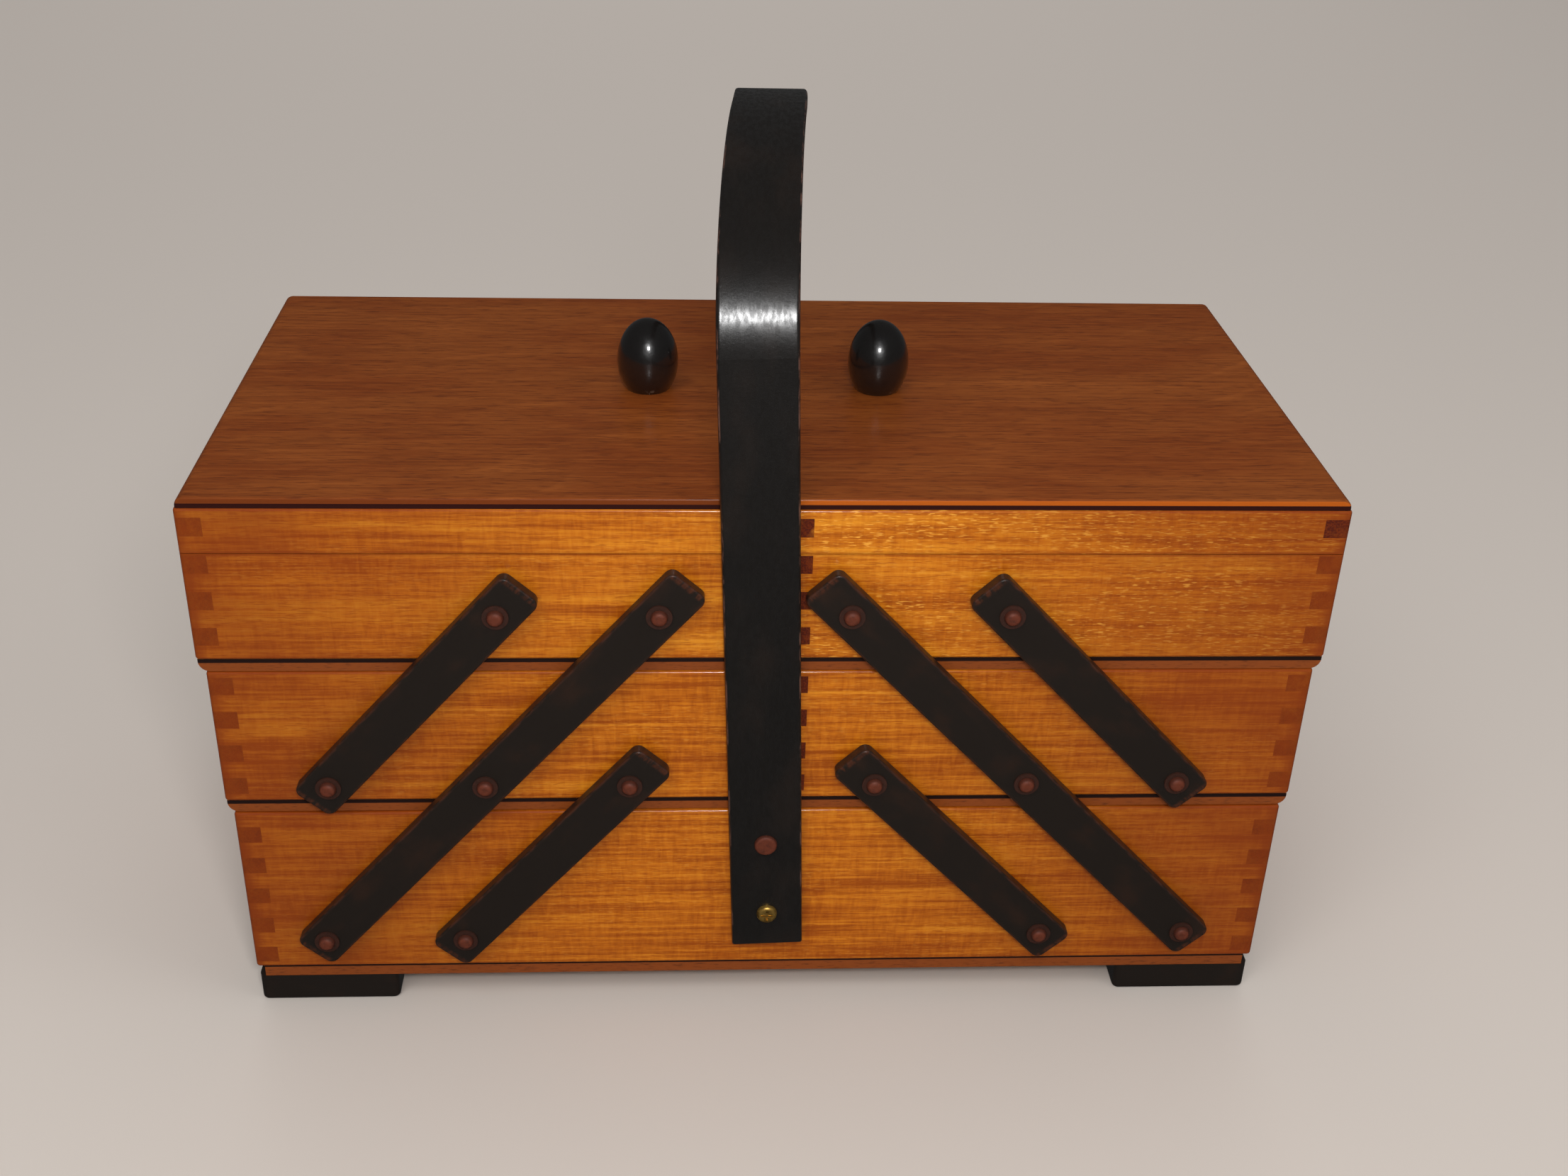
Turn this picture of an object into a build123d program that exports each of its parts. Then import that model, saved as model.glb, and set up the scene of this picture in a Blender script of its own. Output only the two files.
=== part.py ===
from build123d import *
import math
import os

# Cantilever sewing carrier: a base box, two middle trays and two upper trays with hinged lids,
# carried by riveted arms on the front and back, with a fixed bentwood handle over the middle.
#
# Millimetres and degrees. X runs from the left end to the right, Y from front to back, Z up
# from the floor. The origin is on the floor, under the middle of the base.

# Overall sizes
upper_width = 400.0  # over both upper trays, outer end to outer end
middle_end_step = 2.8  # how much shorter each middle tray is than an upper tray, at its outer end
base_end_step = 5.3  # the same step from an upper tray to the base
base_depth = 196.0  # front face to back face of the base
tray_relief = 0.5  # how far each tray's face stands behind the base's face
centre_gap = 10.0  # clear space between the left trays and the right trays

# Boards
wall = 9.0  # thickness of every upright board
floor_thickness = 5.0  # plywood floors
panel_thickness = 4.0  # lid panels
base_wall_height = 72.6
middle_wall_height = 55.0
upper_wall_height = 41.8
lid_wall_height = 16.6
tier_gap = 0.3  # daylight between a closed tray and what lies under it
lid_gap = 0.3  # saw cut between an upper tray and its lid

# Finger joints
finger_height = 7.1
base_first_finger = 2.6  # from the bottom of the boards to the first finger of the end board
middle_first_finger = 3.2
upper_first_finger = 5.8

# Edges
edge_round = 1.0  # long outer edges of the boards
corner_round = 1.5  # upright corners of the boxes
floor_setback = 0.6  # floors and panels stand this far inside the boards' faces
base_floor_end_setback = 3.0  # the base's floor, at its two ends
floor_end_round = 4.0  # under-edge of a tray floor, where it rides over the tier below
panel_end_round = 3.4  # upper edge of a lid panel, at its outer end

# Feet
foot_length = 53.0
foot_depth = 24.0
foot_height = 12.0
foot_setback = 0.5  # from the base's faces
foot_round = 2.5

# Arms
arm_width = 17.0
arm_thickness = 5.0
short_arm_foot = 10.0  # from the lower pivot to the lower end of a short arm
short_arm_head = 14.0  # from the upper pivot to the upper end of a short arm
long_arm_foot = 8.0  # from the lowest pivot to the lower end of a long arm
long_arm_head = 16.0  # from the highest pivot to the upper end of a long arm
arm_corner_round = 3.2
arm_edge_round = 0.8
arm_standoff = 0.9  # from the base's face to the arm
left_lower_spacing = 52.0  # from the left long arms to the short ones under them, along X
right_lower_spacing = 56.0  # the same, on the right
upper_spacing = 56.0  # from the long arms to the short ones over them, along X
left_arm_inset = 29.6  # from the left end of the base to the outermost lower pivot
right_arm_inset = 32.0  # the same, from the right end
left_arm_gap = 4.7  # from the handle to the left long arms, at their corners before rounding
right_arm_gap = 0.3  # the same, to the right long arms
base_pivot_rise = 17.2  # from the bottom of the boards to the pivot, in the base
middle_pivot_rise = 10.2
upper_pivot_rise = 20.8

# Arm rivets and their washers
rivet_radius = 2.2
rivet_head_radius = 3.0
rivet_head_height = 2.2
rivet_tail_radius = 3.0
rivet_tail_height = 1.0
washer_radius = 4.6
washer_thickness = 0.7
running_fit = 0.05  # radial play between a rivet and an arm
side_play = 0.05  # play between an arm and the washers on its two sides
tight_fit = 0.02  # play around a fastener in the wood, and under its head on the handle

# Handle
strap_width = 27.0
strap_thickness = 4.5
strap_bedding = 0.05  # lacquer between the base and the handle
strap_end_height = 29.7  # lower end of each leg, above the floor
strap_bend_rise = 52.5  # from the lids to where the legs start to bend
strap_arch_rise = 52.0  # from there to the underside of the crown
strap_edge_round = 1.2
strap_front_lean = 1.98  # the front leg leans this much to the left
strap_back_lean = 3.0  # the back leg leans this much to the right
strap_middle_height = 81.0  # above the floor, where the front leg crosses the middle of the box
strap_skew = 5.1  # how far the crown is turned out of square with the box
strap_shoulder_reach = 35.0  # how far each leg's direction is felt in the bend
strap_crown_reach = 43.5  # how far the crown's direction is felt in the bend
strap_rivet_height = 77.0  # above the floor
strap_screw_height = 44.5
strap_rivet_head_radius = 4.3
strap_rivet_head_height = 1.6
screw_radius = 1.8
screw_length = 12.0  # under the head
screw_head_radius = 3.9
screw_head_height = 1.9
screw_slot_width = 0.9
screw_slot_length = 4.4
screw_slot_depth = 0.9

# Knobs
knob_radius = 11.6
knob_crown = 16.2  # from the widest place to the top
knob_skirt = 11.0  # from the widest place down to the seat
knob_flare = 6.4  # from the widest place down to where its seat and side would meet in a corner
knob_seat_radius = 8.4
knob_inset = 39.0  # from the inner end of the lid to the knob's centre
knob_spigot_radius = 4.0

# Lid hinges
hinge_length = 32.0
hinge_spacing = 104.0  # between the middles of a lid's two hinges
hinge_leaf_width = 7.5  # from the outer face of the end board inwards
hinge_leaf_thickness = 1.0
hinge_barrel_radius = 2.2
hinge_pin_radius = 1.1
hinge_clearance = 0.1  # barrel to board, and knuckle to knuckle

# Shares of a size
fastener_round = 0.85  # how much of the height of a rivet's head or tail is rounded off
screw_round = 0.8  # the same, of a screw's head
screw_taper = 0.6  # how much of the radius the screw's point loses
pin_taper = 0.3  # how much of the radius the ends of a hinge pin lose
largest_round = 0.9  # the most of a board's thickness that a rounded edge may take

cut_past = 1.0  # how far a cut runs past the face that it opens

# Heights of the boards above the floor
base_board_z = foot_height + floor_thickness
base_top_z = base_board_z + base_wall_height
middle_board_z = base_top_z + tier_gap + floor_thickness
middle_top_z = middle_board_z + middle_wall_height
upper_board_z = middle_top_z + tier_gap + floor_thickness
upper_top_z = upper_board_z + upper_wall_height
lid_board_z = upper_top_z + lid_gap
lid_panel_z = lid_board_z + lid_wall_height
lid_top_z = lid_panel_z + panel_thickness

# Ends of the boards, measured out from the middle of the box
inner_end_x = centre_gap / 2
upper_end_x = upper_width / 2
middle_end_x = upper_end_x - middle_end_step
base_end_x = upper_end_x - base_end_step

# Faces
base_face_y = base_depth / 2
tray_face_y = base_face_y - tray_relief
arm_inner_y = base_face_y + arm_standoff
arm_outer_y = arm_inner_y + arm_thickness
strap_inner_y = base_face_y + strap_bedding
strap_outer_y = strap_inner_y + strap_thickness

# Pivot rows
base_pivot_z = base_board_z + base_pivot_rise
middle_pivot_z = middle_board_z + middle_pivot_rise
upper_pivot_z = upper_board_z + upper_pivot_rise
arm_rise = upper_pivot_z - base_pivot_z
arm_reach = (long_arm_head + arm_width / 2) * math.sqrt(0.5)  # sideways, from pivot to end corner

# Hinge line of a lid
hinge_x = upper_end_x + hinge_barrel_radius + hinge_clearance
hinge_z = upper_top_z + lid_gap / 2

# The left side is drawn first, at minus X, and the right side is its mirror image.
sides = {"left": False, "right": True}


def block(x, y, z):
    """A box between the low and high values given for each axis."""
    size = (x[1] - x[0], y[1] - y[0], z[1] - z[0])
    centre = ((x[0] + x[1]) / 2, (y[0] + y[1]) / 2, (z[0] + z[1]) / 2)
    return Pos(*centre) * Box(*size)


def rod(x, z, radius, y):
    """A cylinder along Y at x, z, between two values of y."""
    length = y[1] - y[0]
    return Pos(x, (y[0] + y[1]) / 2, z) * Rot(90, 0, 0) * Cylinder(radius, length)


def save(name, shape):
    """Write one node."""
    os.makedirs("parts", exist_ok=True)
    export_step(shape, f"parts/{name}.step")


def group(solids):
    """Several separate solids as one node."""
    return Compound(children=list(solids))


def on_side(shape, mirrored):
    """A left-hand shape, or its mirror image on the right."""
    return mirror(shape, about=Plane.YZ) if mirrored else shape


# Boxes


def finger_spans(first, low, high):
    """Heights of the end board's fingers between low and high."""
    spans = []
    start = first
    while start < high:
        spans.append((max(start, low), min(start + finger_height, high)))
        start += 2 * finger_height
    return [(a, b) for a, b in spans if b > low and b > a]


def between(spans, low, high):
    """The heights that the spans leave free."""
    edges = [low] + [edge for span in spans for edge in span] + [high]
    pairs = zip(edges[0::2], edges[1::2])
    return [(a, b) for a, b in pairs if b > a]


def envelope(x, face_y, z, round_top, round_bottom):
    """The outer form of a box, with its corners and long edges eased."""
    body = block(x, (-face_y, face_y), z)
    body = fillet(body.edges().filter_by(Axis.Z), corner_round)
    if round_top:
        body = fillet(body.faces().sort_by(Axis.Z)[-1].edges(), edge_round)
    if round_bottom:
        body = fillet(body.faces().sort_by(Axis.Z)[0].edges(), edge_round)
    return body


def jointed_boards(x, face_y, z, first_finger, round_top, round_bottom):
    """Front, back, outer end and inner end boards of a box, finger jointed at the corners."""
    form = envelope(x, face_y, z, round_top, round_bottom)
    end_fingers = finger_spans(first_finger, *z)
    side_fingers = between(end_fingers, *z)
    boards = {}
    for name, y in (("front", (-face_y, wall - face_y)), ("back", (face_y - wall, face_y))):
        board = block(x, y, z)
        for end in ((x[0], x[0] + wall), (x[1] - wall, x[1])):
            for span in end_fingers:
                board -= block(end, y, span)
        boards[name] = board & form
    for name, end in (("outer_end", (x[0], x[0] + wall)), ("inner_end", (x[1] - wall, x[1]))):
        board = block(end, (-face_y, face_y), z)
        for y in ((-face_y, wall - face_y), (face_y - wall, face_y)):
            for span in side_fingers:
                board -= block(end, y, span)
        boards[name] = board & form
    return boards


def tray_floor(x, z):
    """A plywood floor under a tray, rounded under both ends."""
    sheet = block(
        (x[0] + floor_setback, x[1] - floor_setback),
        (floor_setback - tray_face_y, tray_face_y - floor_setback),
        z,
    )
    round_off = min(floor_end_round, largest_round * floor_thickness)
    ends = sheet.faces().sort_by(Axis.Z)[0].edges().filter_by(Axis.Y)
    return fillet(ends, round_off)


def base_floor():
    """The plywood floor under the base."""
    end = base_end_x - base_floor_end_setback
    side = base_face_y - floor_setback
    return block((-end, end), (-side, side), (foot_height, base_board_z))


def foot(x_sign, y_sign):
    """One foot, under a corner of the base."""
    x_out = base_end_x - foot_setback
    y_out = base_face_y - foot_setback
    x = sorted((x_sign * x_out, x_sign * (x_out - foot_length)))
    y = sorted((y_sign * y_out, y_sign * (y_out - foot_depth)))
    body = block(x, y, (0, foot_height))
    body = fillet(body.edges().filter_by(Axis.Z), foot_round)
    return fillet(body.faces().sort_by(Axis.Z)[0].edges(), foot_round / 2)


# Legs of the handle. The back leg passes the upper pivots at the same X as the front leg.


def front_leg_x(height):
    """Middle of the handle's front leg at a height."""
    return (strap_middle_height - height) * math.tan(math.radians(strap_front_lean))


def back_leg_x(height):
    """Middle of the handle's back leg at a height."""
    rise = height - upper_pivot_z
    return front_leg_x(upper_pivot_z) + rise * math.tan(math.radians(strap_back_lean))


# Pivots


class Linkage:
    """The pivots of one half's arms, drawn on the left."""

    def __init__(self, inset, lower_spacing, gap, handle_edge):
        """Place the pivots from the base's end, and from the handle's edge on this side."""
        base_x = base_end_x - inset
        upper_x = handle_edge + gap + arm_reach
        run = (base_x - upper_x) / arm_rise
        middle_x = base_x - (middle_pivot_z - base_pivot_z) * run
        self.slope = math.degrees(math.atan2(1, run))  # from the floor, with the trays closed
        self.base = [(-base_x, base_pivot_z), (-base_x + lower_spacing, base_pivot_z)]
        self.middle = [
            (-middle_x, middle_pivot_z),
            (-middle_x + lower_spacing, middle_pivot_z),
            (-middle_x - upper_spacing, middle_pivot_z),
        ]
        self.upper = [(-upper_x, upper_pivot_z), (-upper_x - upper_spacing, upper_pivot_z)]


strap_middle_x = front_leg_x(upper_pivot_z)
left_edge = strap_width / 2 - strap_middle_x
right_edge = strap_width / 2 + strap_middle_x
linkages = {
    "left": Linkage(left_arm_inset, left_lower_spacing, left_arm_gap, left_edge),
    "right": Linkage(right_arm_inset, right_lower_spacing, right_arm_gap, right_edge),
}


def drilled(board, pivots):
    """A board with the rivet holes of the pivots through it."""
    for x, z in pivots:
        board -= rod(x, z, rivet_radius + tight_fit, (-base_depth, base_depth))
    return board


def pivot_set(x, z, face_y):
    """A rivet through an arm and a board, with its washers, drawn on the back of the box."""
    arm_in = arm_inner_y - side_play
    arm_out = arm_outer_y + side_play
    head_y = arm_out + washer_thickness
    inside_y = face_y - wall
    tail_y = inside_y - washer_thickness
    head = rod(x, z, rivet_head_radius, (head_y, head_y + rivet_head_height))
    head = fillet(head.edges().sort_by(Axis.Y)[-1], rivet_head_height * fastener_round)
    tail = rod(x, z, rivet_tail_radius, (tail_y - rivet_tail_height, tail_y))
    tail = fillet(tail.edges().sort_by(Axis.Y)[0], rivet_tail_height * fastener_round)
    shank = rod(x, z, rivet_radius, (tail_y, head_y))
    rivet = head + shank + tail
    washers = [
        rod(x, z, washer_radius, (arm_out, head_y)),
        rod(x, z, washer_radius, (face_y, arm_in)),
        rod(x, z, washer_radius, (tail_y, inside_y)),
    ]
    hole = rod(x, z, rivet_radius + tight_fit, (tail_y - cut_past, head_y + cut_past))
    return [rivet] + [washer - hole for washer in washers]


def both_faces(solids):
    """The solids, and the same ones mirrored to the front of the box."""
    return list(solids) + [mirror(solid, about=Plane.XZ) for solid in solids]


def pivot_sets(pivots, face_y):
    """The rivets and washers of some pivots, front and back."""
    solids = []
    for x, z in pivots:
        solids += pivot_set(x, z, face_y)
    return both_faces(solids)


def arm(slope, pivots, foot_end, head_end):
    """A straight arm on the back of the box, through pivots from the lowest to the highest."""
    x, z = pivots[0]
    holes = [(pivot[1] - z) / math.sin(math.radians(slope)) for pivot in pivots]
    thick = (arm_inner_y, arm_outer_y)
    plate = block((-foot_end, holes[-1] + head_end), thick, (-arm_width / 2, arm_width / 2))
    plate = fillet(plate.edges().filter_by(Axis.Y), arm_corner_round)
    for face in (0, -1):
        plate = fillet(plate.faces().sort_by(Axis.Y)[face].edges(), arm_edge_round)
    for along in holes:
        plate -= rod(along, 0, rivet_radius + running_fit, (0, base_depth))
    return Pos(x, 0, z) * Rot(0, -slope, 0) * plate


def arms(linkage):
    """The three arms on the back of one half."""
    ends = (short_arm_foot, short_arm_head)
    base, middle, upper = linkage.base, linkage.middle, linkage.upper
    long_pivots = [base[0], middle[0], upper[0]]
    return {
        "long_arm": arm(linkage.slope, long_pivots, long_arm_foot, long_arm_head),
        "lower_arm": arm(linkage.slope, [base[1], middle[1]], *ends),
        "upper_arm": arm(linkage.slope, [middle[2], upper[1]], *ends),
    }


# Handle

# height above the floor and radius of the shank, for the rivet and the screw of a leg
handle_fixings = [(strap_rivet_height, rivet_radius), (strap_screw_height, screw_radius)]


def leg_line(leg_x, way):
    """The foot and the top of a leg's middle line. The way is -1 in front and 1 at the back."""
    y = way * (strap_inner_y + strap_outer_y) / 2
    heights = (strap_end_height, lid_top_z + strap_bend_rise)
    return [Vector(leg_x(z), y, z) for z in heights]


def strap_line():
    """The middle line of the handle, up its front leg, over its crown and down its back leg."""
    front_foot, front_top = leg_line(front_leg_x, -1)
    back_foot, back_top = leg_line(back_leg_x, 1)
    crown = Vector(0, 0, front_top.Z + strap_arch_rise + strap_thickness / 2)
    skew = math.radians(strap_skew)
    crown_pull = Vector(math.sin(skew), math.cos(skew), 0) * strap_crown_reach
    front_pull = (front_top - front_foot).normalized() * strap_shoulder_reach
    back_pull = (back_top - back_foot).normalized() * strap_shoulder_reach
    pieces = [
        Line(front_foot, front_top),
        Bezier(front_top, front_top + front_pull, crown - crown_pull, crown),
        Bezier(crown, crown + crown_pull, back_top + back_pull, back_top),
        Line(back_top, back_foot),
    ]
    return Wire([edge for piece in pieces for edge in piece.edges()])


def handle_strap():
    """The bent strap over the box, with the holes of its fasteners."""
    line = strap_line()
    along = line % 0
    end = Plane(line @ 0, x_dir=Vector(0, 1, 0).cross(along), z_dir=along)
    section = end * RectangleRounded(strap_width, strap_thickness, strap_edge_round)
    strap = sweep(section, path=line, binormal=Pos(strap_width, 0, 0) * line)
    for height, radius in handle_fixings:
        hole_radius = radius + tight_fit
        strap -= rod(front_leg_x(height), height, hole_radius, (-base_depth, 0))
        strap -= rod(back_leg_x(height), height, hole_radius, (0, base_depth))
    return strap


def handle_rivet(x):
    """The rivet through the back leg of the handle and the back board of the base."""
    z = strap_rivet_height
    outer = strap_outer_y + tight_fit
    inner = base_face_y - wall
    head = rod(x, z, strap_rivet_head_radius, (outer, outer + strap_rivet_head_height))
    head = fillet(head.edges().sort_by(Axis.Y)[-1], strap_rivet_head_height * fastener_round)
    tail = rod(x, z, rivet_tail_radius, (inner - rivet_tail_height, inner))
    tail = fillet(tail.edges().sort_by(Axis.Y)[0], rivet_tail_height * fastener_round)
    return head + rod(x, z, rivet_radius, (inner, outer)) + tail


def handle_screw(x):
    """The cross-slotted screw under that rivet."""
    z = strap_screw_height
    outer = strap_outer_y + tight_fit
    top = outer + screw_head_height
    head = rod(x, z, screw_head_radius, (outer, top))
    head = fillet(head.edges().sort_by(Axis.Y)[-1], screw_head_height * screw_round)
    half_long = screw_slot_length / 2
    half_wide = screw_slot_width / 2
    slot_y = (top - screw_slot_depth, top + cut_past)
    head -= block((x - half_long, x + half_long), slot_y, (z - half_wide, z + half_wide))
    head -= block((x - half_wide, x + half_wide), slot_y, (z - half_long, z + half_long))
    shank_end = outer - screw_length
    shank = rod(x, z, screw_radius, (shank_end, outer))
    return head + chamfer(shank.edges().sort_by(Axis.Y)[0], screw_radius * screw_taper)


def in_both_legs(fixing, height):
    """A fixing in the back leg, and its fellow in the front leg."""
    fellow = mirror(fixing(front_leg_x(height)), about=Plane.XZ)
    return group([fixing(back_leg_x(height)), fellow])


# Lids, on the left side


def egg_outline():
    """The side of the knob, from its seat past the widest place to its top."""
    widest = (knob_radius, 0)
    skirt = Bezier((knob_seat_radius, -knob_skirt), (knob_radius, -knob_flare), widest)
    handle = 4 / 3 * (math.sqrt(2) - 1)  # makes a cubic curve follow a quarter of an ellipse
    crown = Bezier(
        widest,
        (knob_radius, handle * knob_crown),
        (handle * knob_radius, knob_crown),
        (0, knob_crown),
    )
    return [skirt, crown]


def knob():
    """An egg-shaped knob, turned in one piece with its spigot through the lid panel."""
    spigot_end = -knob_skirt - panel_thickness
    stem = Polyline(
        (knob_seat_radius, -knob_skirt),
        (knob_spigot_radius, -knob_skirt),
        (knob_spigot_radius, spigot_end),
        (0, spigot_end),
        (0, knob_crown),
    )
    body = revolve(Plane.XZ * make_face(Curve() + [*egg_outline(), stem]), Axis.Z)
    return Pos(-inner_end_x - knob_inset, 0, lid_top_z + knob_skirt) * body


def lid_panel():
    """The panel on top of a lid, rounded over at its outer end, with the knob's hole."""
    side = tray_face_y - floor_setback
    x = (-upper_end_x + floor_setback, -inner_end_x - floor_setback)
    panel = block(x, (-side, side), (lid_panel_z, lid_top_z))
    top = panel.faces().sort_by(Axis.Z)[-1]
    outer = top.edges().sort_by(Axis.X)[0]
    panel = fillet(outer, min(panel_end_round, largest_round * panel_thickness))
    long_edges = panel.faces().sort_by(Axis.Z)[-1].edges().filter_by(Axis.X)
    panel = fillet(long_edges, edge_round)
    hole = Cylinder(knob_spigot_radius + tight_fit, 3 * panel_thickness)
    return panel - Pos(-inner_end_x - knob_inset, 0, lid_panel_z) * hole


def knuckle(y):
    """A plain tube on the hinge line."""
    return rod(-hinge_x, hinge_z, hinge_barrel_radius, y)


def hinge_leaf(middle_y, of_lid):
    """One leaf of a hinge: two knuckles on the tray's leaf, one on the lid's."""
    third = hinge_length / 3
    gap = hinge_clearance / 2
    low = middle_y - hinge_length / 2
    if of_lid:
        knuckles = [(low + third + gap, low + 2 * third - gap)]
        z = (lid_board_z, lid_board_z + hinge_leaf_thickness)
    else:
        knuckles = [(low, low + third - gap), (low + 2 * third + gap, low + hinge_length)]
        z = (upper_top_z - hinge_leaf_thickness, upper_top_z)
    leaf = block((-upper_end_x, -upper_end_x + hinge_leaf_width), (low, low + hinge_length), z)
    for y in knuckles:
        leaf += block((-hinge_x, -upper_end_x), y, z)
        leaf += knuckle(y)
    through = (low - cut_past, low + hinge_length + cut_past)
    bore = rod(-hinge_x, hinge_z, hinge_pin_radius + running_fit, through)
    return leaf - bore


def hinge_middles():
    """The middles of a lid's two hinges."""
    return (-hinge_spacing / 2, hinge_spacing / 2)


def hinge_pin(middle_y):
    """The pin of one hinge, chamfered at its ends."""
    half = hinge_length / 2
    pin = rod(-hinge_x, hinge_z, hinge_pin_radius, (middle_y - half, middle_y + half))
    return chamfer(pin.edges().filter_by(GeomType.CIRCLE), hinge_pin_radius * pin_taper)


def hinge_mortise(middle_y, z):
    """The shallow seat of a leaf in the edge of an end board."""
    half = hinge_length / 2 + tight_fit
    x = (-upper_end_x - cut_past, -upper_end_x + hinge_leaf_width + tight_fit)
    return block(x, (middle_y - half, middle_y + half), z)


# Base

base_boards = jointed_boards(
    (-base_end_x, base_end_x),
    base_face_y,
    (base_board_z, base_top_z),
    base_board_z + base_first_finger,
    True,
    True,
)
base_pivots = linkages["left"].base + [(-x, z) for x, z in linkages["right"].base]
for name, leg_x in (("front", front_leg_x), ("back", back_leg_x)):
    board = drilled(base_boards[name], base_pivots)
    for height, radius in handle_fixings:
        board -= rod(leg_x(height), height, radius + tight_fit, (-base_depth, base_depth))
    save(f"base_{name}", board)
save("base_left_end", base_boards["outer_end"])
save("base_right_end", base_boards["inner_end"])
save("base_floor", base_floor())
save("feet", group(foot(x, y) for x in (-1, 1) for y in (-1, 1)))
save("base_arm_rivets", group(pivot_sets(base_pivots, base_face_y)))
save("handle_strap", handle_strap())
save("handle_rivets", in_both_legs(handle_rivet, strap_rivet_height))
save("handle_screws", in_both_legs(handle_screw, strap_screw_height))

# Trays, lids and arms of each side

middle_x = (-middle_end_x, -inner_end_x)
upper_x = (-upper_end_x, -inner_end_x)
middle_boards = jointed_boards(
    middle_x,
    tray_face_y,
    (middle_board_z, middle_top_z),
    middle_board_z + middle_first_finger,
    True,
    True,
)
upper_boards = jointed_boards(
    upper_x,
    tray_face_y,
    (upper_board_z, upper_top_z),
    upper_board_z + upper_first_finger,
    False,
    True,
)
lid_boards = jointed_boards(
    upper_x,
    tray_face_y,
    (lid_board_z, lid_panel_z),
    upper_board_z + upper_first_finger,
    True,
    False,
)
for y in hinge_middles():
    leaf = hinge_leaf_thickness
    upper_boards["outer_end"] -= hinge_mortise(y, (upper_top_z - leaf, upper_top_z + cut_past))
    lid_boards["outer_end"] -= hinge_mortise(y, (lid_board_z - cut_past, lid_board_z + leaf))

pieces = {}
for name in ("outer_end", "inner_end"):
    pieces[f"middle_{name}"] = middle_boards[name]
    pieces[f"upper_{name}"] = upper_boards[name]
pieces["lid_side_rails"] = group([lid_boards["front"], lid_boards["back"]])
pieces["lid_end_rails"] = group([lid_boards["outer_end"], lid_boards["inner_end"]])
pieces["middle_floor"] = tray_floor(middle_x, (middle_board_z - floor_thickness, middle_board_z))
pieces["upper_floor"] = tray_floor(upper_x, (upper_board_z - floor_thickness, upper_board_z))
pieces["lid_panel"] = lid_panel()
pieces["lid_knob"] = knob()
pieces["hinge_tray_leaves"] = group(hinge_leaf(y, False) for y in hinge_middles())
pieces["hinge_lid_leaves"] = group(hinge_leaf(y, True) for y in hinge_middles())
pieces["hinge_pins"] = group(hinge_pin(y) for y in hinge_middles())

for side, mirrored in sides.items():
    linkage = linkages[side]
    own = dict(pieces)
    for name in ("front", "back"):
        own[f"middle_{name}"] = drilled(middle_boards[name], linkage.middle)
        own[f"upper_{name}"] = drilled(upper_boards[name], linkage.upper)
    own["middle_arm_rivets"] = group(pivot_sets(linkage.middle, tray_face_y))
    own["upper_arm_rivets"] = group(pivot_sets(linkage.upper, tray_face_y))
    for name, shape in arms(linkage).items():
        own[f"back_{name}"] = shape
        own[f"front_{name}"] = mirror(shape, about=Plane.XZ)
    for name, shape in own.items():
        save(f"{side}_{name}", on_side(shape, mirrored))
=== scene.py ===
"""Dresses the wooden cantilever sewing box: its finishes, small fittings, light and camera."""

import logging
import math
import random
from dataclasses import dataclass, field, replace
from enum import Enum
from typing import Any, Optional, Union

import bmesh
import bpy
from bpy.types import Material, Node, NodeSocket, Object
from mathutils import Matrix, Vector


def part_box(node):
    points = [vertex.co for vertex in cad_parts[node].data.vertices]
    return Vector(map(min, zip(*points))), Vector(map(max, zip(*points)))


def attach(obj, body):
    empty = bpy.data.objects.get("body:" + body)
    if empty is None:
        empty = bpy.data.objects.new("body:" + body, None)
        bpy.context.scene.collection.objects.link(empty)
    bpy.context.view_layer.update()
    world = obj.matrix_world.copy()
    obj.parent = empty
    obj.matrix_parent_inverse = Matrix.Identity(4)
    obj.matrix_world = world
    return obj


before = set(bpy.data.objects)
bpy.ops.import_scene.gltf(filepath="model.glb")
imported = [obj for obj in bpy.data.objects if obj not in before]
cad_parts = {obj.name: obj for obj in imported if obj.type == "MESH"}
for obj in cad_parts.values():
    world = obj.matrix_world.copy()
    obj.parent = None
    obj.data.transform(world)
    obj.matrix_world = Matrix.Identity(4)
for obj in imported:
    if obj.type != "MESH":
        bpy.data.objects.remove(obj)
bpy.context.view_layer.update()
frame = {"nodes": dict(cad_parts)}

logging.basicConfig(level=logging.INFO, format="%(message)s")
log = logging.getLogger("sewing_box")

MM = 0.001
WHITE = (1, 1, 1)

# how far the noise of a finish may be moved from piece to piece, in turns
GRAIN_SHIFT = 40
VENEER_SHIFT = 30
STAIN_SHIFT = 50

Triple = tuple[float, float, float]
Colour = Triple
Span = tuple[float, float]
Number = Union["Value", float]


def srgb(red: int, green: int, blue: int) -> Colour:
    """Turns a screen colour into the linear one that shaders use.

    Args:
        red: Red, from 0 to 255.
        green: Green, from 0 to 255.
        blue: Blue, from 0 to 255.

    Returns:
        The three linear channels.
    """
    dark_end, dark_slope, offset, gamma = 0.04045, 12.92, 0.055, 2.4

    def channel(level: int) -> float:
        """Returns one channel, made linear."""
        share = level / 255
        if share <= dark_end:
            return share / dark_slope
        return ((share + offset) / (1 + offset)) ** gamma

    return channel(red), channel(green), channel(blue)


class Axis(Enum):
    """A direction that the grain of a board runs in."""

    X = (1.0, 0.0, 0.0)
    Y = (0.0, 1.0, 0.0)
    Z = (0.0, 0.0, 1.0)


class Side(Enum):
    """The two halves of the box, with the sign of their place along X."""

    LEFT = ("left", -1)
    RIGHT = ("right", 1)

    @property
    def word(self) -> str:
        """The word that the names of this half's pieces start with."""
        return self.value[0]

    @property
    def sign(self) -> int:
        """-1 on the left and 1 on the right."""
        return self.value[1]


# ---- shader expressions


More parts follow.
